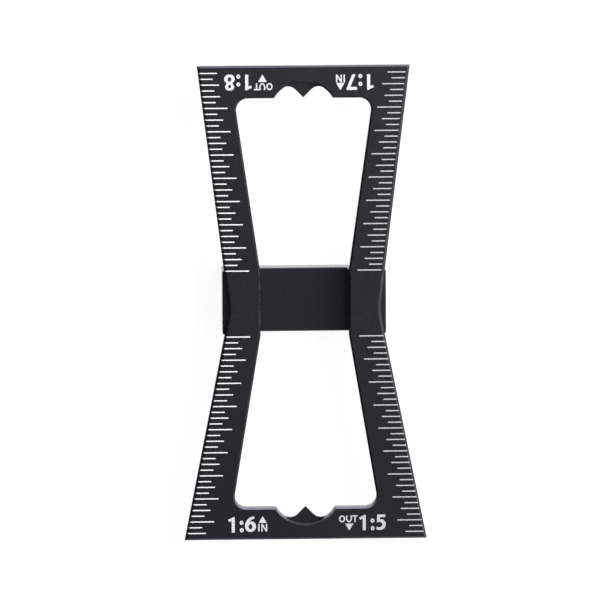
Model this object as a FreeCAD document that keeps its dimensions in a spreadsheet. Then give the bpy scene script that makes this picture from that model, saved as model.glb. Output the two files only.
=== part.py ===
import FreeCAD, Part
import math
import os
import Sketcher

# Dovetail marker, machined and anodised from one piece of aluminium, in millimetres.
# It lies on the fence's back face, with the scale side up, at the top of +Z.
# +Y runs along the blades, towards the 1:8 and 1:7 end.
# The origin is at the middle of the fence's back face.

SIZES = {
    "OverallDepth": 16.0,
    "PlateThickness": 3.0,
    "FenceWidth": 17.45,
    "FenceLength": 44.62,
    "FenceCornerRadius": 0.4,
    "FenceBevel": 0.25,
    "PocketDepth": 9.5,
    "BladeReach": 56.17,
    "WaistWidth": 43.72,
    "WaistBlendRadius": 16.0,
    "UpperOuterRatio": 8.0,
    "LowerOuterRatio": 5.0,
    "EndBarWidth": 8.82,
    "WindowWaistWidth": 24.07,
    "UpperInnerRatio": 7.0,
    "LowerInnerRatio": 6.0,
    "WindowCornerRadius": 3.2,
    "ScoopRadius": 9.35,
    "ScoopCentreInset": 4.85,
    "ScoopDepth": 2.4,
    "TipHalfAngle": 45.0,
    "CrestRadius": 2.8,
    "EndBevel": 0.45,
    "SideBevel": 0.7,
    "WindowBevel": 0.5,
    "FirstMarkOffset": 0.3,
    "MarkPitch": 1.5875,
    "MarkWidth": 0.36,
    "MarkDepth": 0.1,
    "LongMark": 6.6,
    "MediumMark": 5.0,
    "ShortMark": 3.65,
    "LeftMarkBesideNumber": 5.15,
    "RightMarkBesideNumber": 6.0,
    "UpperLeftMarkGap": 0.25,
    "UpperRightMarkGap": 0.9,
    "LowerLeftMarkGap": 0.45,
    "LowerRightMarkGap": 0.5,
}

MARKS_IN_ROW = 35
LONG_MARK_STEP = 4
INDEX_BESIDE_NUMBER = 32

UPPER, LOWER = 1, -1
RIGHT, LEFT = 1, -1
SIDE_NAMES = {UPPER: "Upper", LOWER: "Lower"}
HAND_NAMES = {RIGHT: "Right", LEFT: "Left"}
FOUR_CORNERS = [(hand, side) for hand in (RIGHT, LEFT) for side in (UPPER, LOWER)]

# Expressions over the sheet that more than one sketch uses. A blade starts at the fence's face.
HALF_FENCE = "Sizes.FenceWidth / 2"
BLADE_END = f"({HALF_FENCE} + Sizes.BladeReach)"
WINDOW_REACH = "(Sizes.BladeReach - Sizes.EndBarWidth)"
WINDOW_END = f"({HALF_FENCE} + {WINDOW_REACH})"
SCOOP_CENTRE = f"({WINDOW_END} - Sizes.ScoopCentreInset)"
TIP_RUNOUT = "Sizes.ScoopCentreInset / 10"
PLATE_BACK = "Sizes.OverallDepth - Sizes.PlateThickness"
POCKET_FLOOR = "Sizes.OverallDepth - Sizes.PocketDepth"
FLANK_TURN = {UPPER: "Sizes.TipHalfAngle * 1deg", LOWER: "(180 - Sizes.TipHalfAngle) * 1deg"}

# Names for the sketcher's numbers, and a length below which two places are the same.
ORIGIN_INDEX = -1
VERTICAL_AXIS_INDEX = -2
START_INDEX, END_INDEX, CENTRE_INDEX = 1, 2, 3
NEAR = 0.001

doc = FreeCAD.newDocument("DovetailMarker")
sheet = doc.addObject("Spreadsheet::Sheet", "Sizes")
for row, (name, value) in enumerate(SIZES.items(), start=1):
    sheet.set(f"A{row}", name)
    sheet.set(f"B{row}", str(value))
    sheet.setAlias(f"B{row}", name)
doc.recompute()

blank = doc.addObject("PartDesign::Body", "Blank")
blank.Label = "marker_blank"


def size(expression):
    """The value in millimetres of an expression over the sheet."""
    return float(sheet.evalExpression(expression))


def signed(sign, expression):
    """The expression itself, or its opposite where the sign is negative."""
    return expression if sign > 0 else f"-({expression})"


def outer_edge_at(side, distance):
    """Half width of a blade at a distance from the fence's face, as an expression."""
    return f"(Sizes.WaistWidth / 2 + ({distance}) / Sizes.{SIDE_NAMES[side]}OuterRatio)"


def inner_edge_at(side, distance):
    """Half width of a window at a distance from the fence's face, as an expression."""
    return f"(Sizes.WindowWaistWidth / 2 + ({distance}) / Sizes.{SIDE_NAMES[side]}InnerRatio)"


# Sketches and features


def origin_plane(role):
    return [part for part in blank.Origin.OriginFeatures if part.Role == role][0]


def new_sketch(name, height):
    """A sketch parallel to the XY plane, at a height given as an expression."""
    sketch = blank.newObject("Sketcher::SketchObject", name)
    sketch.AttachmentSupport = [(origin_plane("XY_Plane"), "")]
    sketch.MapMode = "FlatFace"
    sketch.setExpression("AttachmentOffset.Base.z", height)
    return sketch


def bind(sketch, kind, points, expression):
    """Adds one dimension whose value follows an expression."""
    value = sheet.evalExpression(expression)
    number = sketch.addConstraint(Sketcher.Constraint(kind, *points, value))
    sketch.setExpression(f"Constraints[{number}]", expression)


def place(sketch, geometry, end, across, along):
    """Ties one point to the origin by two expressions. None keeps it on the vertical axis."""
    if across is None:
        sketch.addConstraint(Sketcher.Constraint("PointOnObject", geometry, end, VERTICAL_AXIS_INDEX))
    else:
        bind(sketch, "DistanceX", (ORIGIN_INDEX, START_INDEX, geometry, end), across)
    bind(sketch, "DistanceY", (ORIGIN_INDEX, START_INDEX, geometry, end), along)


def closed_outline(sketch, corners):
    """Straight lines round a list of corners, each a pair of expressions."""
    points = [FreeCAD.Vector(size(across), size(along), 0) for across, along in corners]
    for index, point in enumerate(points):
        following = points[(index + 1) % len(points)]
        sketch.addGeometry(Part.LineSegment(point, following), False)
    for index, (across, along) in enumerate(corners):
        following = (index + 1) % len(corners)
        sketch.addConstraint(Sketcher.Constraint("Coincident", index, END_INDEX, following, START_INDEX))
        place(sketch, index, START_INDEX, across, along)


def feature(kind, name, amount_name=None, amount=None, **properties):
    """Adds a feature to the blank, with one amount bound to an expression, and recomputes."""
    made = blank.newObject(kind, name)
    for key, value in properties.items():
        setattr(made, key, value)
    if amount:
        made.setExpression(amount_name, amount)
    blank.Tip = made
    doc.recompute()
    return made


def pad(name, sketch, length, downwards=False):
    return feature("PartDesign::Pad", name, "Length", length, Profile=sketch, Reversed=downwards)


def pocket(name, sketch, depth):
    return feature("PartDesign::Pocket", name, "Length", depth, Profile=sketch)


def edges_where(test):
    """Names of the edges of the newest feature that pass a test."""
    edges = blank.Tip.Shape.Edges
    return [f"Edge{number}" for number, edge in enumerate(edges, start=1) if test(edge)]


def fillet(name, test, radius):
    base = (blank.Tip, edges_where(test))
    return feature("PartDesign::Fillet", name, "Radius", radius, Base=base)


def bevel(name, test, width):
    base = (blank.Tip, edges_where(test))
    return feature("PartDesign::Chamfer", name, "Size", width, Base=base)


def upright_at(places):
    """A test for edges parallel to Z that stand over one of the given places."""

    def test(edge):
        box = edge.BoundBox
        if box.XLength > NEAR or box.YLength > NEAR:
            return False
        return any(abs(box.XMin - x) < NEAR and abs(box.YMin - y) < NEAR for x, y in places)

    return test


def level_at(height, also=None):
    """A test for edges that lie flat at one height and pass a second test, if there is one."""
    level = size(height)

    def test(edge):
        box = edge.BoundBox
        flat = box.ZLength < NEAR and abs(box.ZMin - level) < NEAR
        return flat and (also is None or also(edge))

    return test


# Plate: each outer edge keeps its blade's slope until the two meet, a little off the middle.

SLOPE_SUM = "(Sizes.LowerOuterRatio + Sizes.UpperOuterRatio)"
SLOPE_DIFFERENCE = "(Sizes.LowerOuterRatio - Sizes.UpperOuterRatio)"
WAIST_ALONG = f"({HALF_FENCE} * {SLOPE_DIFFERENCE} / {SLOPE_SUM})"
WAIST_ACROSS = outer_edge_at(UPPER, f"{WAIST_ALONG} - {HALF_FENCE}")


def make_plate():
    upper_half = outer_edge_at(UPPER, "Sizes.BladeReach")
    lower_half = outer_edge_at(LOWER, "Sizes.BladeReach")
    outline = new_sketch("PlateOutline", "Sizes.OverallDepth")
    corners = [
        (upper_half, BLADE_END),
        (f"-{upper_half}", BLADE_END),
        (f"-{WAIST_ACROSS}", WAIST_ALONG),
        (f"-{lower_half}", f"-{BLADE_END}"),
        (lower_half, f"-{BLADE_END}"),
        (WAIST_ACROSS, WAIST_ALONG),
    ]
    closed_outline(outline, corners)
    pad("Plate", outline, "Sizes.PlateThickness", downwards=True)
    waist = [(hand * size(WAIST_ACROSS), size(WAIST_ALONG)) for hand in (RIGHT, LEFT)]
    fillet("WaistBlend", upright_at(waist), "Sizes.WaistBlendRadius")


# Fence: a block behind the plate, long enough to show as a narrow tab beside each arm.


def make_fence():
    across = "Sizes.FenceLength / 2"
    outline = new_sketch("FenceOutline", "0")
    corners = [
        (across, HALF_FENCE),
        (f"-{across}", HALF_FENCE),
        (f"-{across}", f"-{HALF_FENCE}"),
        (across, f"-{HALF_FENCE}"),
    ]
    closed_outline(outline, corners)
    pad("Fence", outline, PLATE_BACK)
    posts = [(hand * size(across), side * size(HALF_FENCE)) for hand, side in FOUR_CORNERS]
    fillet("FenceCorners", upright_at(posts), "Sizes.FenceCornerRadius")


# Windows: one hourglass pocket opens both windows and leaves the fence's bar at its floor.


def make_windows():
    waist = "Sizes.WindowWaistWidth / 2"
    end_half = {side: inner_edge_at(side, WINDOW_REACH) for side in (UPPER, LOWER)}
    outline = new_sketch("WindowOutline", "Sizes.OverallDepth")
    corners = [
        (end_half[UPPER], WINDOW_END),
        (f"-{end_half[UPPER]}", WINDOW_END),
        (f"-{waist}", HALF_FENCE),
        (f"-{waist}", f"-{HALF_FENCE}"),
        (f"-{end_half[LOWER]}", f"-{WINDOW_END}"),
        (end_half[LOWER], f"-{WINDOW_END}"),
        (waist, f"-{HALF_FENCE}"),
        (waist, HALF_FENCE),
    ]
    closed_outline(outline, corners)
    pocket("Windows", outline, "Sizes.PocketDepth")
    ends = [(hand * size(end_half[side]), side * size(WINDOW_END)) for hand, side in FOUR_CORNERS]
    fillet("WindowCorners", upright_at(ends), "Sizes.WindowCornerRadius")


# Pointers: a round scoop thins the end bar, and a notch each side of the middle leaves a sharp tip.


def make_scoop(side):
    name = f"{SIDE_NAMES[side]}Scoop"
    centre_along = signed(side, SCOOP_CENTRE)
    outline = new_sketch(f"{name}Outline", "Sizes.OverallDepth")
    centre = FreeCAD.Vector(0, size(centre_along), 0)
    up = FreeCAD.Vector(0, 0, 1)
    circle = outline.addGeometry(Part.Circle(centre, up, size("Sizes.ScoopRadius")), False)
    place(outline, circle, CENTRE_INDEX, None, centre_along)
    bind(outline, "Radius", (circle,), "Sizes.ScoopRadius")
    pocket(name, outline, "Sizes.ScoopDepth")


def notch_points(side):
    """Where the notch's lines and arcs meet, from the tip round to the foot below it.

    The flank runs straight from the tip, the crest's arc is tangent to it and to the
    scoop's circle, and that circle carries on to a runout inside the open window.
    """
    crest = size("Sizes.CrestRadius")
    scoop = size("Sizes.ScoopRadius")
    inset = size("Sizes.ScoopCentreInset")
    runout = -size(TIP_RUNOUT)
    angle = math.radians(size("Sizes.TipHalfAngle"))

    rise = inset * math.cos(angle)
    gap = scoop - crest
    rest = crest**2 + inset**2 - 2 * inset * crest * math.sin(angle) - gap**2
    flank = math.sqrt(rise**2 - rest) - rise
    flank_x, flank_y = flank * math.sin(angle), flank * math.cos(angle)
    crest_x = flank_x + crest * math.cos(angle)
    crest_y = flank_y - crest * math.sin(angle)
    share = scoop / gap
    meeting_x, meeting_y = crest_x * share, (crest_y + inset) * share - inset
    bend_y = (meeting_y + runout) / 2

    def on_scoop(outwards):
        return math.sqrt(scoop**2 - (outwards + inset) ** 2)

    def at(across, outwards):
        return FreeCAD.Vector(across, side * (size(WINDOW_END) + outwards), 0)

    return {
        "tip": at(0, 0),
        "flank_end": at(flank_x, flank_y),
        "crest_top": at(crest_x, crest_y + crest),
        "meeting": at(meeting_x, meeting_y),
        "scoop_bend": at(on_scoop(bend_y), bend_y),
        "corner": at(on_scoop(runout), runout),
        "foot": at(0, runout),
    }


def make_notches(side):
    """Cuts the right notch from a sketch, and mirrors it for the left one."""
    name = SIDE_NAMES[side]
    at = notch_points(side)
    notch = new_sketch(f"{name}NotchOutline", "Sizes.OverallDepth")
    flank = notch.addGeometry(Part.LineSegment(at["tip"], at["flank_end"]), False)
    crest = notch.addGeometry(Part.Arc(at["flank_end"], at["crest_top"], at["meeting"]), False)
    rim = notch.addGeometry(Part.Arc(at["meeting"], at["scoop_bend"], at["corner"]), False)
    runout = notch.addGeometry(Part.LineSegment(at["corner"], at["foot"]), False)
    middle = notch.addGeometry(Part.LineSegment(at["foot"], at["tip"]), False)

    def end_at(geometry, point):
        starts_here = notch.getPoint(geometry, START_INDEX).distanceToPoint(point) < NEAR
        return START_INDEX if starts_here else END_INDEX

    def join(kind, first, second, point):
        ends = (first, end_at(first, point), second, end_at(second, point))
        notch.addConstraint(Sketcher.Constraint(kind, *ends))

    join("Tangent", flank, crest, at["flank_end"])
    join("Tangent", crest, rim, at["meeting"])
    join("Coincident", rim, runout, at["corner"])
    join("Coincident", runout, middle, at["foot"])
    join("Coincident", middle, flank, at["tip"])
    notch.addConstraint(Sketcher.Constraint("Horizontal", runout))
    place(notch, middle, START_INDEX, None, signed(side, f"{WINDOW_END} - {TIP_RUNOUT}"))
    place(notch, middle, END_INDEX, None, signed(side, WINDOW_END))
    place(notch, rim, CENTRE_INDEX, None, signed(side, SCOOP_CENTRE))
    bind(notch, "Radius", (rim,), "Sizes.ScoopRadius")
    bind(notch, "Radius", (crest,), "Sizes.CrestRadius")
    bind(notch, "Angle", (flank, START_INDEX, VERTICAL_AXIS_INDEX, START_INDEX), FLANK_TURN[side])

    right = pocket(f"{name}RightNotch", notch, "Sizes.PlateThickness")
    mirror_plane = (origin_plane("YZ_Plane"), [""])
    feature("PartDesign::Mirrored", f"{name}LeftNotch", Originals=[right], MirrorPlane=mirror_plane)


# Bevels: the back of the plate stays sharp, because a pencil or a knife follows it.


def middle_of_arm(along):
    """Half way between the window's edge and the outer edge, at one place along Y."""
    side = UPPER if along > 0 else LOWER
    distance = f"{abs(along)} - {HALF_FENCE}"
    return (size(outer_edge_at(side, distance)) + size(inner_edge_at(side, distance))) / 2


def is_blade_end(edge):
    box = edge.BoundBox
    return box.YLength < NEAR and abs(abs(box.YMin) - size(BLADE_END)) < NEAR


def is_outer_side(edge):
    centre = edge.CenterOfMass
    return not is_blade_end(edge) and abs(centre.x) > middle_of_arm(centre.y)


def is_window_edge(edge):
    return not is_blade_end(edge) and not is_outer_side(edge)


def is_tab_edge(edge):
    centre = edge.CenterOfMass
    beside_arm = abs(centre.x) > size("Sizes.FenceLength / 2 - Sizes.FenceCornerRadius")
    return beside_arm and abs(centre.y) < size(HALF_FENCE)


def is_straight_across(edge):
    return edge.BoundBox.YLength < NEAR


def bevel_edges():
    front = "Sizes.OverallDepth"
    bevel("SideBevel", level_at(front, is_outer_side), "Sizes.SideBevel")
    bevel("EndBevel", level_at(front, is_blade_end), "Sizes.EndBevel")
    bevel("WindowBevel", level_at(front, is_window_edge), "Sizes.WindowBevel")
    bevel("FenceBackBevel", level_at("0"), "Sizes.FenceBevel")
    bevel("BarBevel", level_at(POCKET_FLOOR, is_straight_across), "Sizes.FenceBevel")
    bevel("TabBevel", level_at(PLATE_BACK, is_tab_edge), "Sizes.FenceBevel")


# Scales: four rows of shallow engraved lines. The first line is just beyond the fence's face, and
# every line starts at its row's gap from the blade's edge, on the bevel.


def mark_length(side, hand, index):
    """Long on every fourth line, medium on the other even ones, short on the odd ones."""
    if index % 2:
        return "Sizes.ShortMark"
    if index % LONG_MARK_STEP:
        return "Sizes.MediumMark"
    if side == UPPER and index == INDEX_BESIDE_NUMBER:
        return f"Sizes.{HAND_NAMES[hand]}MarkBesideNumber"
    return "Sizes.LongMark"


def mark_block(side, hand, index):
    """One line's cutter, which starts at a gap from the blade's edge and clears the front face."""
    distance = f"(Sizes.FirstMarkOffset + {index} * Sizes.MarkPitch)"
    gap = f"Sizes.{SIDE_NAMES[side]}{HAND_NAMES[hand]}MarkGap"
    outer_end = size(f"{outer_edge_at(side, distance)} - {gap}")
    length = size(mark_length(side, hand, index))
    width = size("Sizes.MarkWidth")
    depth = size("Sizes.MarkDepth")
    left_end = outer_end - length if hand == RIGHT else -outer_end
    lower_side = side * size(f"{HALF_FENCE} + {distance}") - width / 2
    corner = FreeCAD.Vector(left_end, lower_side, size("Sizes.OverallDepth") - depth)
    return Part.makeBox(length, width, 2 * depth, corner)


def cut_scales():
    """The finished piece: the blank less every scale line."""
    indexes = range(MARKS_IN_ROW)
    blocks = [mark_block(side, hand, index) for hand, side in FOUR_CORNERS for index in indexes]
    lines = doc.addObject("Part::Feature", "ScaleLines")
    lines.Shape = Part.makeCompound(blocks)
    finished = doc.addObject("Part::Cut", "Marker")
    finished.Label = "marker_body"
    finished.Base = blank
    finished.Tool = lines
    doc.recompute()
    return finished


def check_document():
    """Stops before anything is written if an object failed."""
    for item in doc.Objects:
        if "Invalid" in item.State or "Error" in item.State:
            raise RuntimeError(f"{item.Name} failed: {item.State}")


def write_step(item):
    if item.Shape.isNull() or not item.Shape.isValid():
        raise RuntimeError(f"{item.Label} has no valid shape")
    item.Shape.exportStep(os.path.join("parts", f"{item.Label}.step"))
    print(item.Label, "volume", round(item.Shape.Volume, 3), "solids", len(item.Shape.Solids))


make_plate()
make_fence()
make_windows()
for side in (UPPER, LOWER):
    make_scoop(side)
    make_notches(side)
bevel_edges()
marker = cut_scales()

check_document()
os.makedirs("parts", exist_ok=True)
write_step(marker)
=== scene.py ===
import math

import bmesh
import bpy
from mathutils import Euler, Matrix, Vector


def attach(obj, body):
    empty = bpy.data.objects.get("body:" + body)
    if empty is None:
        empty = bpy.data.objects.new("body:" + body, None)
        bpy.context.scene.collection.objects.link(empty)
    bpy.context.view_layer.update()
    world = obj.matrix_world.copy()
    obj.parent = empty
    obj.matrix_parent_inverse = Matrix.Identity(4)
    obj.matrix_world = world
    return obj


# Dovetail marker: materials, white scale lines, white numbers and words, studio and camera.
# Lengths are in metres unless a name ends in _MM. +Z comes out of the scale side.

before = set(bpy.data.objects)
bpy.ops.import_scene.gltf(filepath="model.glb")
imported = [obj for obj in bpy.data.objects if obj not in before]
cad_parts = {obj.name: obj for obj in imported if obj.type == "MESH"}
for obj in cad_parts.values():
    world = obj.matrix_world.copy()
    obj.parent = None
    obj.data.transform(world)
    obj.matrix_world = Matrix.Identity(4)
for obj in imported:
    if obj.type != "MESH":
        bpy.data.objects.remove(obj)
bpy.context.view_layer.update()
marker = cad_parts["marker_body"]

MM = 0.001
UPPER, LOWER = 1, -1
RIGHT, LEFT = 1, -1

# Sizes that the solids have.
FACE_Z_MM = 16.0
HALF_FENCE_MM = 8.725
HALF_WAIST_MM = 21.86
BLADE_END_MM = 64.895
SIDE_BEVEL_MM = 0.7
END_BEVEL_MM = 0.45
WINDOW_BEVEL_MM = 0.5
WINDOW_END_MM = 56.075
OUTER_RATIO = {UPPER: 8.0, LOWER: 5.0}
FIRST_MARK_OFFSET_MM = 0.3
MARK_PITCH_MM = 1.5875
MARK_GAP_MM = {
    (UPPER, LEFT): 0.25,
    (UPPER, RIGHT): 0.9,
    (LOWER, LEFT): 0.45,
    (LOWER, RIGHT): 0.5,
}
LONG_MARK_MM, MEDIUM_MARK_MM, SHORT_MARK_MM = 6.6, 5.0, 3.65
MARK_BESIDE_NUMBER_MM = {LEFT: 5.15, RIGHT: 6.0}
MARKS_IN_ROW = 35
LONG_MARK_STEP = 4
INDEX_BESIDE_NUMBER = 32


# Node helpers


def new_material(name):
    material = bpy.data.materials.new(name)
    material.use_nodes = True
    tree = material.node_tree
    return material, tree, tree.nodes["Principled BSDF"]


def object_coordinates(tree):
    return tree.nodes.new("ShaderNodeTexCoord").outputs["Object"]


def separate(tree, vector):
    """The three numbers of a vector, by the names X, Y and Z."""
    node = tree.nodes.new("ShaderNodeSeparateXYZ")
    tree.links.new(vector, node.inputs["Vector"])
    return node.outputs


def noise(tree, coordinates, scale, detail=2.0, roughness=0.5):
    node = tree.nodes.new("ShaderNodeTexNoise")
    node.inputs["Scale"].default_value = scale
    node.inputs["Detail"].default_value = detail
    node.inputs["Roughness"].default_value = roughness
    tree.links.new(coordinates, node.inputs["Vector"])
    return node.outputs["Fac"]


def stretched(tree, coordinates, scale):
    node = tree.nodes.new("ShaderNodeMapping")
    node.inputs["Scale"].default_value = scale
    tree.links.new(coordinates, node.inputs["Vector"])
    return node.outputs["Vector"]


def remap(tree, value, source, target=(0.0, 1.0)):
    """Carries the range source over to the range target, and stays inside it."""
    node = tree.nodes.new("ShaderNodeMapRange")
    for socket, number in zip(("From Min", "From Max", "To Min", "To Max"), (*source, *target)):
        node.inputs[socket].default_value = number
    tree.links.new(value, node.inputs["Value"])
    return node.outputs["Result"]


def maths(tree, operation, first, second=0.0):
    node = tree.nodes.new("ShaderNodeMath")
    node.operation = operation
    for socket, item in zip(node.inputs, (first, second)):
        if isinstance(item, (int, float)):
            socket.default_value = item
        else:
            tree.links.new(item, socket)
    return node.outputs["Value"]


def product(tree, first, *others):
    for other in others:
        first = maths(tree, "MULTIPLY", first, other)
    return first


def blend_colours(tree, factor, low, high):
    node = tree.nodes.new("ShaderNodeMix")
    node.data_type = "RGBA"
    factor_socket, low_socket, high_socket = node.inputs[0], node.inputs[6], node.inputs[7]
    tree.links.new(factor, factor_socket)
    for socket, item in ((low_socket, low), (high_socket, high)):
        if isinstance(item, tuple):
            socket.default_value = (*item, 1.0)
        else:
            tree.links.new(item, socket)
    return node.outputs[2]


def bump(tree, height, strength, distance, under=None):
    node = tree.nodes.new("ShaderNodeBump")
    node.inputs["Strength"].default_value = strength
    node.inputs["Distance"].default_value = distance
    tree.links.new(height, node.inputs["Height"])
    if under is not None:
        tree.links.new(under, node.inputs["Normal"])
    return node.outputs["Normal"]


# Black anodised aluminium. Scales of noise are per metre, and colours are linear.

CLOUD_SCALE, HIGHLIGHT_PATCH_SCALE, WEAR_SCALE = 60.0, 300.0, 420.0
COARSE_GRAIN_SCALE, GRAIN_SCALE = 1400.0, 5200.0

# The ranges of noise that are spread over a whole blend. The first holds nearly all of a noise.
MOST_NOISE, SPECKLE_NOISE, WEAR_NOISE = (0.3, 0.7), (0.35, 0.75), (0.46, 0.66)

# Strength and distance of each bump.
GRAIN_BUMP, COARSE_GRAIN_BUMP = (0.25, 0.02 * MM), (0.1, 0.04 * MM)

DARK_DYE, LIGHT_DYE = (0.0050, 0.0048, 0.0068), (0.0076, 0.0073, 0.0100)
SPECKLE, SPECKLE_SHARE = (0.016, 0.0155, 0.0185), 0.45
WORN_EDGE, WORN_SHARE = (0.035, 0.035, 0.040), 0.55
# Painted highlight on the bevels across the blade ends, in patches, blue-grey like the far lamp's
# light.
END_BEVEL_HIGHLIGHT, END_HIGHLIGHT_SHARES = (0.045, 0.048, 0.065), (0.7, 1.0)
# Painted highlight on the bevel at the lower window's far side.
WINDOW_END_HIGHLIGHT = (0.15, 0.15, 0.17)
GLOSS_TINT = (0.88, 0.85, 1.0, 1.0)

# The face's roughness, and what is added to it elsewhere.
FACE_ROUGHNESS = (0.25, 0.33)
BEVEL_ROUGHER, WALL_ROUGHER, LOW_ROUGHER, SCOOP_RIM_ROUGHER = -0.08, -0.21, -0.03, 0.3

# How far a face leans, by the upright part of its normal: 1 is level and 0 is upright.
LEVEL_LEAN, UPRIGHT_LEAN = 0.95, 0.2

# Distances from the marker's middle along X or Y, and one height. The corners' fade has signs.
END_BEVEL_FROM_MM = 64.4
SCOOP_RIM_FROM_MM, SCOOP_RIM_TO_MM = WINDOW_END_MM + 0.6, 61.5
SCOOP_RIM_REACH_MM = 9.5
SCOOP_FADE_MM = (4.5, 7.0)
WINDOW_CORNER_FADE_MM = (-53.5, -55.6)
WINDOW_REACH_MM = 24.0
LOW_DOWN_MM = 10.0


def in_metres(numbers_mm):
    return tuple(number * MM for number in numbers_mm)


def bevels_and_walls(tree):
    """Masks of the bevels, which lean between level and upright, and of the upright walls."""
    geometry = tree.nodes.new("ShaderNodeNewGeometry")
    lean = maths(tree, "ABSOLUTE", separate(tree, geometry.outputs["True Normal"])["Z"])
    off_level = maths(tree, "LESS_THAN", lean, LEVEL_LEAN)
    off_upright = maths(tree, "GREATER_THAN", lean, UPRIGHT_LEAN)
    on_wall = maths(tree, "LESS_THAN", lean, UPRIGHT_LEAN)
    return product(tree, off_level, off_upright), on_wall


def blade_ends(tree, spot):
    return maths(tree, "GREATER_THAN", maths(tree, "ABSOLUTE", spot["Y"]), END_BEVEL_FROM_MM * MM)


def lower_scoop(tree, spot):
    past_window = maths(tree, "LESS_THAN", spot["Y"], -SCOOP_RIM_FROM_MM * MM)
    off_middle = maths(tree, "ABSOLUTE", spot["X"])
    return product(tree, past_window, maths(tree, "LESS_THAN", off_middle, SCOOP_RIM_REACH_MM * MM))


def lower_window_end(tree, spot):
    """The lower window's far side, where its bevel gets a painted highlight; it fades out up its
    corners and inside the scoop.
    """
    off_middle = maths(tree, "ABSOLUTE", spot["X"])
    past_corner = remap(tree, spot["Y"], in_metres(WINDOW_CORNER_FADE_MM))
    short_of_end = maths(tree, "GREATER_THAN", spot["Y"], -SCOOP_RIM_TO_MM * MM)
    in_window = maths(tree, "LESS_THAN", off_middle, WINDOW_REACH_MM * MM)
    outside_scoop = remap(tree, off_middle, in_metres(SCOOP_FADE_MM))
    return product(tree, past_corner, short_of_end, in_window, outside_scoop)


def black_anodised():
    """Satin black anodised aluminium: blasted grain, faint clouds in the dye, paler worn edges, and
    painted highlights on some bevels.
    """
    material, tree, shader = new_material("black_anodised")
    place = object_coordinates(tree)
    spot = separate(tree, place)
    grain = noise(tree, place, GRAIN_SCALE, roughness=0.6)
    coarse_grain = noise(tree, place, COARSE_GRAIN_SCALE)
    on_bevel, on_wall = bevels_and_walls(tree)

    clouds = remap(tree, noise(tree, place, CLOUD_SCALE, detail=4.0, roughness=0.6), MOST_NOISE)
    colour = blend_colours(tree, clouds, DARK_DYE, LIGHT_DYE)
    speckles = remap(tree, grain, SPECKLE_NOISE, (0.0, SPECKLE_SHARE))
    colour = blend_colours(tree, speckles, colour, SPECKLE)
    wear = remap(tree, noise(tree, place, WEAR_SCALE, detail=5.0, roughness=0.7), WEAR_NOISE)
    colour = blend_colours(tree, product(tree, on_bevel, wear, WORN_SHARE), colour, WORN_EDGE)

    # The bevels across the two blade ends and at the lower window's far side are paler still:
    # painted highlights, patchy blue-grey at the ends and pale grey at the window.
    highlight_patches = remap(tree, noise(tree, place, HIGHLIGHT_PATCH_SCALE, detail=4.0), MOST_NOISE, END_HIGHLIGHT_SHARES)
    end_highlight_share = product(tree, on_bevel, blade_ends(tree, spot), highlight_patches)
    colour = blend_colours(tree, end_highlight_share, colour, END_BEVEL_HIGHLIGHT)
    window_highlight_share = product(tree, lower_window_end(tree, spot), on_bevel)
    colour = blend_colours(tree, window_highlight_share, colour, WINDOW_END_HIGHLIGHT)
    tree.links.new(colour, shader.inputs["Base Color"])

    # The face is blasted, and so is the lower scoop's rim. The other bevels and the walls were cut
    # after that, and the pocket's floor is milled.
    roughness = remap(tree, coarse_grain, MOST_NOISE, FACE_ROUGHNESS)
    for mask, rougher in (
        (on_bevel, BEVEL_ROUGHER),
        (on_wall, WALL_ROUGHER),
        (maths(tree, "LESS_THAN", spot["Z"], LOW_DOWN_MM * MM), LOW_ROUGHER),
        (product(tree, lower_scoop(tree, spot), on_bevel), SCOOP_RIM_ROUGHER),
    ):
        roughness = maths(tree, "ADD", roughness, product(tree, mask, rougher))
    tree.links.new(roughness, shader.inputs["Roughness"])
    shader.inputs["Metallic"].default_value = 0.0
    shader.inputs["IOR"].default_value = 1.5
    shader.inputs["Specular Tint"].default_value = GLOSS_TINT

    blasted = bump(tree, grain, *GRAIN_BUMP)
    blasted = bump(tree, coarse_grain, *COARSE_GRAIN_BUMP, under=blasted)
    tree.links.new(blasted, shader.inputs["Normal"])
    return material


# White marking, in two kinds: for the scale lines, and for the numbers and words.

HATCH_STRETCH, PATCH_STRETCH = (9000.0, 1500.0, 1500.0), (1100.0, 2600.0, 1500.0)
HATCH_BUMP = (0.3, 0.02 * MM)
COVER_NOISE, PINHOLE_NOISE = (0.75, 1.1), (0.66, 0.74)
PINHOLE_SCALE, PINHOLE_GREY = 7000.0, (0.30, 0.30, 0.32)
WHITE_ROUGHNESS = 0.75

# Where each kind goes from full white to its dullest, and the share of dull white there.
SCALE_DULL_MM, SCALE_DULL_SHARES = (-12.0, 12.0), (0.0, 0.75)
LETTER_DULL_MM, LETTER_DULL_SHARES = (30.0, 80.0), (0.0, 0.8)


def white_marking(name, full_white, dull_white, dull_share, thin_share, pinhole_share):
    """Matt white: a fine hatch in soft patches, pinholes, and a duller side.

    dull_share gives the share of dull_white over the marker. thin_share is how bright the thin
    patches are, and pinhole_share is how much the pinholes show.
    """
    material, tree, shader = new_material(name)
    place = object_coordinates(tree)
    hatch = noise(tree, stretched(tree, place, HATCH_STRETCH), 1.0)
    patches = noise(tree, stretched(tree, place, PATCH_STRETCH), 1.0)
    cover = remap(tree, maths(tree, "ADD", hatch, patches), COVER_NOISE)
    thin_white = tuple(thin_share * channel for channel in full_white)
    colour = blend_colours(tree, cover, thin_white, full_white)
    pinholes = remap(tree, noise(tree, place, PINHOLE_SCALE), PINHOLE_NOISE, (0.0, pinhole_share))
    colour = blend_colours(tree, pinholes, colour, PINHOLE_GREY)
    colour = blend_colours(tree, dull_share(tree, separate(tree, place)), colour, dull_white)
    tree.links.new(colour, shader.inputs["Base Color"])
    shader.inputs["Roughness"].default_value = WHITE_ROUGHNESS
    tree.links.new(bump(tree, hatch, *HATCH_BUMP), shader.inputs["Normal"])
    return material


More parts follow.
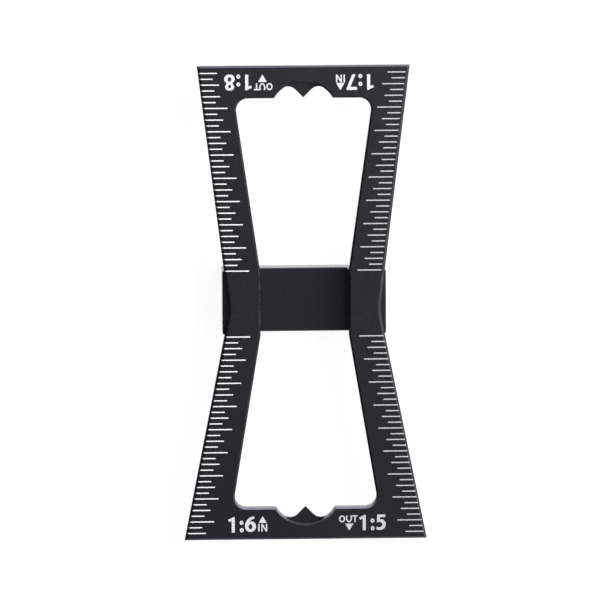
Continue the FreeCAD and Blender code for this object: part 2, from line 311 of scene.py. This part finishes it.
def duller_to_the_right(tree, spot):
    return remap(tree, spot["X"], in_metres(SCALE_DULL_MM), SCALE_DULL_SHARES)


def duller_at_lower_right(tree, spot):
    to_lower_right = maths(tree, "SUBTRACT", spot["X"], spot["Y"])
    return remap(tree, to_lower_right, in_metres(LETTER_DULL_MM), LETTER_DULL_SHARES)


BLACK = black_anodised()
SCALE_WHITE = white_marking(
    "scale_white",
    full_white=(0.90, 0.90, 0.92),
    dull_white=(0.38, 0.38, 0.41),
    dull_share=duller_to_the_right,
    thin_share=0.96,
    pinhole_share=0.1,
)
LETTER_WHITE = white_marking(
    "letter_white",
    full_white=(0.76, 0.76, 0.78),
    dull_white=(0.48, 0.48, 0.51),
    dull_share=duller_at_lower_right,
    thin_share=0.78,
    pinhole_share=0.5,
)
marker.data.materials.clear()
marker.data.materials.append(BLACK)


# Mesh helpers


def mesh_from(name, mesh):
    data = bpy.data.meshes.new(name)
    mesh.to_mesh(data)
    mesh.free()
    return data


def add_object(name, data, material):
    """Puts a finished mesh in the scene, with one material."""
    data.materials.append(material)
    item = bpy.data.objects.new(name, data)
    bpy.context.scene.collection.objects.link(item)
    return item


def join_rings(mesh, first, second):
    """A band of faces between two rings of four corners."""
    for corner in range(4):
        following = (corner + 1) % 4
        mesh.faces.new((first[corner], first[following], second[following], second[corner]))


def edge_mm(side, along):
    """Half width of a blade at a distance from the middle."""
    return HALF_WAIST_MM + (along - HALF_FENCE_MM) / OUTER_RATIO[side]


def slope_of(side):
    return math.atan(1 / OUTER_RATIO[side])


# Scale lines: a thin white fill in each engraved line, which runs on down the bevel.

FILL_WIDTH_MM = 0.31
FILL_SUNK_MM, FILL_PROUD_MM, FILL_THICKNESS_MM = 0.01, 0.01, 0.08
ROUND_END_DEGREES = (20, 45, 70, 90)
FILL_STEPS = 8


def mark_length_mm(side, hand, index):
    if index % 2:
        return SHORT_MARK_MM
    if index % LONG_MARK_STEP:
        return MEDIUM_MARK_MM
    if side == UPPER and index == INDEX_BESIDE_NUMBER:
        return MARK_BESIDE_NUMBER_MM[hand]
    return LONG_MARK_MM


def fill_top_mm(side, across, along):
    """Height of the fill: just under the face, and just over the bevel beyond it."""
    from_edge = (edge_mm(side, along) - across) * math.cos(slope_of(side))
    bevel = FACE_Z_MM - max(0.0, SIDE_BEVEL_MM - from_edge)
    return min(FACE_Z_MM - FILL_SUNK_MM, bevel + FILL_PROUD_MM)


def line_stations_mm(inner, outer):
    """Places along a line with their half widths: half round ends, and steps on the bevel."""
    half = FILL_WIDTH_MM / 2
    turns = [math.radians(angle) for angle in ROUND_END_DEGREES]
    ends = [(half * (1 - math.cos(turn)), half * math.sin(turn)) for turn in turns]
    stations = [(inner + inset, width) for inset, width in ends]
    last = outer - half
    first = max(inner + half, last - SIDE_BEVEL_MM)
    stations += [(first + (last - first) * step / FILL_STEPS, half) for step in range(FILL_STEPS)]
    return stations + [(outer - inset, width) for inset, width in reversed(ends)]


def add_fill(mesh, side, hand, inner, outer, along):
    """One closed strip of white, whose four rails follow the face and the bevel."""
    rings = []
    for across, half in line_stations_mm(inner, outer):
        ring = []
        for offset in (-half, half):
            top = fill_top_mm(side, across, along + offset)
            for height in (top, top - FILL_THICKNESS_MM):
                corner = in_metres((hand * across, side * (along + offset), height))
                ring.append(mesh.verts.new(corner))
        rings.append((ring[0], ring[2], ring[3], ring[1]))
    for before, after in zip(rings, rings[1:]):
        join_rings(mesh, before, after)
    mesh.faces.new(rings[0])
    mesh.faces.new(rings[-1])


def make_scale_lines():
    mesh = bmesh.new()
    for side in (UPPER, LOWER):
        for hand in (LEFT, RIGHT):
            for index in range(MARKS_IN_ROW):
                along = HALF_FENCE_MM + FIRST_MARK_OFFSET_MM + index * MARK_PITCH_MM
                outer = edge_mm(side, along) - MARK_GAP_MM[side, hand]
                inner = outer - mark_length_mm(side, hand, index)
                add_fill(mesh, side, hand, inner, outer, along)
    bmesh.ops.recalc_face_normals(mesh, faces=mesh.faces)
    lines = add_object("scale_lines", mesh_from("scale_lines", mesh), SCALE_WHITE)
    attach(lines, "root")


# End strips: the solids have a second, flatter bevel inside the one across each blade end. A slim
# wedge fills it, so that the face runs on to one plain bevel.

BURIED_INWARDS_MM, BURIED_DOWN_MM = 0.5, 0.4


def end_strip_corners(side):
    """Corners of the wedge on the right, from its inner edge round to the one inside the metal."""
    upper_edge = BLADE_END_MM - END_BEVEL_MM
    drop = WINDOW_BEVEL_MM * math.cos(math.radians(45))
    section = ((upper_edge - WINDOW_BEVEL_MM, 0.0), (upper_edge, 0.0), (upper_edge + drop, drop))
    corners = []
    for along, down in section:
        across = edge_mm(side, along) - (SIDE_BEVEL_MM - down) / math.cos(slope_of(side))
        corners.append((across, side * along, FACE_Z_MM - down))
    across, along, height = corners[0]
    corners.append((across - BURIED_INWARDS_MM, along, height - BURIED_DOWN_MM))
    return corners


def make_end_strips():
    mesh = bmesh.new()
    for side in (UPPER, LOWER):
        corners = end_strip_corners(side)
        right, left = (
            [mesh.verts.new(in_metres((hand * x, y, z))) for x, y, z in corners]
            for hand in (RIGHT, LEFT)
        )
        join_rings(mesh, right, left)
        for inner, middle, outer, buried in (right, left):
            mesh.faces.new((inner, middle, outer))
            mesh.faces.new((inner, outer, buried))
    bmesh.ops.recalc_face_normals(mesh, faces=mesh.faces)
    strips = add_object("end_strips", mesh_from("end_strips", mesh), BLACK)
    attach(strips, "root")


# Letterforms in millimetres, as closed loops. A loop's points are corners unless marked round.

ROUND = True
DIGIT_SCALE = 0.955


def ellipse(x, y, across, up):
    return [(x + across, y, ROUND), (x, y + up, ROUND), (x - across, y, ROUND), (x, y - up, ROUND)]


def digit(*loops):
    return [
        [(x * DIGIT_SCALE, y * DIGIT_SCALE, *is_round) for x, y, *is_round in loop]
        for loop in loops
    ]


def arrow(width, height):
    """A filled triangle that stands on its base, or hangs from it where height is negative."""
    return [[(0.0, 0.0), (width, 0.0), (width / 2, height)]]


ONE = digit(
    [
        (0.95, 4.42), (0.46, 4.42), (-0.25, 4.0, ROUND), (-0.98, 3.74), (-0.7, 3.06), (0.06, 3.36),
        (0.06, 0.0), (0.95, 0.0),
    ]
)
FIVE = digit(
    [
        (0.36, 4.4), (2.66, 4.4), (2.66, 3.64), (1.14, 3.64), (1.08, 2.98), (1.75, 2.97, ROUND),
        (2.5, 2.5, ROUND), (2.8, 1.6, ROUND), (2.45, 0.55, ROUND), (1.3, -0.05, ROUND),
        (0.08, 0.12), (0.2, 0.9), (1.12, 0.72, ROUND), (1.84, 1.5, ROUND), (1.3, 2.2, ROUND),
        (0.24, 2.1),
    ]
)
SIX = digit(
    [
        (2.62, 4.52), (1.35, 4.1, ROUND), (0.45, 3.15, ROUND), (0.0, 1.75, ROUND),
        (0.38, 0.5, ROUND), (1.56, -0.05, ROUND), (2.75, 0.48, ROUND), (3.1, 1.5, ROUND),
        (2.75, 2.6, ROUND), (2.0, 2.98, ROUND), (1.28, 2.8), (1.75, 3.45, ROUND), (2.64, 3.78),
    ],
    ellipse(1.56, 1.5, 0.53, 0.76),
)
SEVEN = digit(
    [
        (0.04, 4.42), (2.98, 4.42), (2.98, 3.98), (1.38, 0.0), (0.42, 0.0), (1.95, 3.58),
        (0.04, 3.58),
    ]
)
EIGHT = digit(
    [
        (1.46, 4.48, ROUND), (2.42, 4.2, ROUND), (2.76, 3.4, ROUND), (2.42, 2.62, ROUND),
        (2.4, 2.3, ROUND), (2.92, 1.75, ROUND), (2.98, 1.05, ROUND), (2.55, 0.28, ROUND),
        (1.5, -0.05, ROUND), (0.42, 0.28, ROUND), (0.02, 1.1, ROUND), (0.12, 1.75, ROUND),
        (0.6, 2.3, ROUND), (0.55, 2.62, ROUND), (0.18, 3.4, ROUND), (0.5, 4.2, ROUND),
    ],
    ellipse(1.47, 3.34, 0.42, 0.48),
    ellipse(1.5, 1.32, 0.52, 0.64),
)
DOT = [ellipse(0.0, 0.0, 0.53, 0.58), ellipse(0.0, 0.0, 0.13, 0.15)]
LETTER_O = [ellipse(0.84, 0.95, 0.84, 0.97), ellipse(0.84, 0.95, 0.47, 0.61)]
LETTER_U = [
    [
        (0.0, 1.9), (0.37, 1.9), (0.37, 0.8, ROUND), (0.77, 0.33, ROUND), (1.17, 0.8, ROUND),
        (1.17, 1.9), (1.54, 1.9), (1.54, 0.75, ROUND), (0.77, -0.03, ROUND), (0.0, 0.75, ROUND),
    ]
]
LETTER_T = [
    [
        (0.0, 1.9), (1.42, 1.9), (1.42, 1.56), (0.89, 1.56), (0.89, 0.0), (0.53, 0.0),
        (0.53, 1.56), (0.0, 1.56),
    ]
]
LETTER_I = [[(0.0, 0.0), (0.38, 0.0), (0.38, 2.1), (0.0, 2.1)]]
LETTER_N = [
    [
        (0.0, 0.0), (0.35, 0.0), (0.35, 1.4), (1.24, 0.0), (1.62, 0.0), (1.62, 2.1), (1.27, 2.1),
        (1.27, 0.7), (0.38, 2.1), (0.0, 2.1),
    ]
]

# Each label's glyphs with their lower left corner, in millimetres on the face. The two upper
# labels are read from the other end, so their glyphs are turned half round about that corner.

UPRIGHT, HALF_ROUND = 1, -1
LABELS = {
    "label_outer_1_8": (
        HALF_ROUND,
        [
            (ONE, -14.89, 62.57), (DOT, -17.65, 62.08), (DOT, -17.65, 59.96),
            (EIGHT, -18.61, 62.58), (LETTER_O, -8.38, 60.25), (LETTER_U, -10.4, 60.24),
            (LETTER_T, -12.02, 60.24), (arrow(2.46, -2.04), -9.89, 60.56),
        ],
    ),
    "label_inner_1_7": (
        HALF_ROUND,
        [
            (ONE, 18.17, 62.47), (DOT, 15.44, 61.95), (DOT, 15.46, 59.84), (SEVEN, 14.55, 62.44),
            (LETTER_I, 11.25, 62.42), (LETTER_N, 10.44, 62.42), (arrow(2.27, 2.01), 11.14, 60.17),
        ],
    ),
    "label_inner_1_6": (
        UPRIGHT,
        [
            (ONE, -20.33, -62.84), (DOT, -17.58, -60.15), (DOT, -17.52, -62.22),
            (SIX, -16.62, -62.69), (LETTER_I, -13.02, -62.64), (LETTER_N, -12.17, -62.64),
            (arrow(2.26, 1.88), -12.91, -60.27),
        ],
    ),
    "label_outer_1_5": (
        UPRIGHT,
        [
            (ONE, 15.49, -62.56), (DOT, 18.23, -59.93), (DOT, 18.25, -62.03),
            (FIVE, 19.17, -62.46), (LETTER_O, 9.08, -60.31), (LETTER_U, 11.02, -60.31),
            (LETTER_T, 12.73, -60.31), (arrow(2.31, -1.92), 10.71, -60.66),
        ],
    ),
}
LABEL_PROUD_MM = 0.02
CURVE_STEPS = 8


def add_loop(curve, loop, x, y, turn):
    spline = curve.splines.new("BEZIER")
    spline.bezier_points.add(len(loop) - 1)
    spline.use_cyclic_u = True
    for point, target in zip(loop, spline.bezier_points):
        target.co = (x + turn * point[0], y + turn * point[1], 0.0)
        kind = "AUTO" if len(point) > 2 else "VECTOR"
        target.handle_left_type = kind
        target.handle_right_type = kind


def make_label(name, turn, glyphs):
    """One flat white mesh for a number, its words and its arrow, a little proud of the face."""
    curve = bpy.data.curves.new(name, "CURVE")
    curve.dimensions = "2D"
    curve.fill_mode = "BOTH"
    curve.resolution_u = CURVE_STEPS
    curve.extrude = LABEL_PROUD_MM
    for loops, x, y in glyphs:
        for loop in loops:
            add_loop(curve, loop, x, y, turn)
    drawn = bpy.data.objects.new(name + "_outline", curve)
    bpy.context.scene.collection.objects.link(drawn)
    bpy.context.view_layer.update()
    evaluated = drawn.evaluated_get(bpy.context.evaluated_depsgraph_get())
    data = bpy.data.meshes.new_from_object(evaluated)
    bpy.data.objects.remove(drawn)
    data.transform(Matrix.Translation((0, 0, FACE_Z_MM * MM)) @ Matrix.Scale(MM, 4))
    data.materials.clear()
    label = add_object(name, data, LETTER_WHITE)
    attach(label, "root")


make_scale_lines()
make_end_strips()
for label_name, (turn, glyphs) in LABELS.items():
    make_label(label_name, turn, glyphs)


# Studio: a white floor, soft lamps from the right and the far end, and a dim room round it.

FLOOR_HALF_WIDTH = 6.0
FLOOR_DROP = 0.02 * MM
FLOOR_GREY = (0.15, 0.15, 0.15, 1.0)
FLOOR_ROUGHNESS = 0.9
FLOOR_GLOW = 0.93
WHITE = (1.0, 1.0, 1.0, 1.0)

# In reflections the floor is dim on the left, and reaches its full glow in the middle.
REFLECTION_FADE, REFLECTION_SHARES = (-0.10, 0.0), (0.03, 1.0)

# The room's glow by direction: the range of X or Y, and the strength at its two ends.
ROOM_FROM_RIGHT = (-0.5, 1.0), (0.03, 0.75)
ROOM_LOW_RIGHT = (0.6, 1.0), (0.0, 0.8)
ROOM_FROM_FAR = (0.4, 1.0), (0.0, 0.7)

# Each lamp's place, width and height, power in watts, and colour.
LAMPS = {
    "key_softbox": ((0.44, 0.27, 0.57), (0.5, 0.5), 6.7, (1.0, 1.0, 1.0)),
    "overhead_softbox": ((0.16, 0.22, 0.6), (0.5, 0.5), 0.4, (1.0, 1.0, 1.0)),
    "far_strip": ((0.0, 0.75, 0.12), (1.2, 0.2), 1.6, (0.85, 0.92, 1.0)),
}
LAMP_TARGET = (0, 0, 0.01)


def seen_directly(tree):
    """One for camera and transmission rays, which show the white background."""
    rays = tree.nodes.new("ShaderNodeLightPath").outputs
    return maths(tree, "MAXIMUM", rays["Is Camera Ray"], rays["Is Transmission Ray"])


def make_floor():
    mesh = bmesh.new()
    bmesh.ops.create_grid(mesh, x_segments=1, y_segments=1, size=FLOOR_HALF_WIDTH)
    material, tree, shader = new_material("studio_white")
    floor = add_object("studio_floor", mesh_from("studio_floor", mesh), material)
    floor.location.z = -FLOOR_DROP
    shader.inputs["Base Color"].default_value = FLOOR_GREY
    shader.inputs["Roughness"].default_value = FLOOR_ROUGHNESS
    shader.inputs["Specular IOR Level"].default_value = 0.0
    shader.inputs["Emission Color"].default_value = WHITE
    spot = separate(tree, object_coordinates(tree))
    fading = remap(tree, spot["X"], REFLECTION_FADE, REFLECTION_SHARES)
    is_glossy = tree.nodes.new("ShaderNodeLightPath").outputs["Is Glossy Ray"]
    seen = maths(tree, "MAXIMUM", seen_directly(tree), product(tree, is_glossy, fading))
    tree.links.new(product(tree, seen, FLOOR_GLOW), shader.inputs["Emission Strength"])


def make_world():
    """A dim room, brighter to the right and far end, with a white backdrop for the camera."""
    world = bpy.data.worlds.new("studio")
    bpy.context.scene.world = world
    world.use_nodes = True
    tree = world.node_tree
    background = tree.nodes["Background"]
    towards = separate(tree, tree.nodes.new("ShaderNodeTexCoord").outputs["Generated"])
    glow = remap(tree, towards["X"], *ROOM_FROM_RIGHT)
    glow = maths(tree, "ADD", glow, remap(tree, towards["X"], *ROOM_LOW_RIGHT))
    glow = maths(tree, "ADD", glow, remap(tree, towards["Y"], *ROOM_FROM_FAR))
    mix = tree.nodes.new("ShaderNodeMix")
    factor_socket, room_socket, backdrop_socket = mix.inputs[0], mix.inputs[2], mix.inputs[3]
    tree.links.new(seen_directly(tree), factor_socket)
    tree.links.new(glow, room_socket)
    backdrop_socket.default_value = 1.0
    tree.links.new(mix.outputs[0], background.inputs["Strength"])
    background.inputs["Color"].default_value = WHITE


def add_lamp(name, place, size, power, colour):
    light = bpy.data.lights.new(name, "AREA")
    light.shape = "RECTANGLE"
    light.size, light.size_y = size
    light.energy = power
    light.color = colour
    lamp = bpy.data.objects.new(name, light)
    bpy.context.scene.collection.objects.link(lamp)
    lamp.location = place
    aim = Vector(LAMP_TARGET) - Vector(place)
    lamp.rotation_euler = aim.to_track_quat("-Z", "Y").to_euler()


make_floor()
make_world()
for lamp_name, settings in LAMPS.items():
    add_lamp(lamp_name, *settings)


# Camera: above the face, a little towards the upper end, and far enough for little perspective.

CAMERA_LENS_MM, CAMERA_SENSOR_MM = 392.245, 36.0
CAMERA_PLACE = (-0.058707, 0.219372, 1.816)
CAMERA_TURNS_DEGREES = (-6.9561, -1.9175, -0.3105)

camera_data = bpy.data.cameras.new("camera")
camera_data.lens = CAMERA_LENS_MM
camera_data.sensor_width = CAMERA_SENSOR_MM
camera = bpy.data.objects.new("camera", camera_data)
camera.location = CAMERA_PLACE
camera.rotation_euler = Euler([math.radians(turn) for turn in CAMERA_TURNS_DEGREES], "XYZ")
bpy.context.scene.collection.objects.link(camera)
bpy.context.scene.camera = camera

bpy.context.scene.view_settings.view_transform = "Standard"
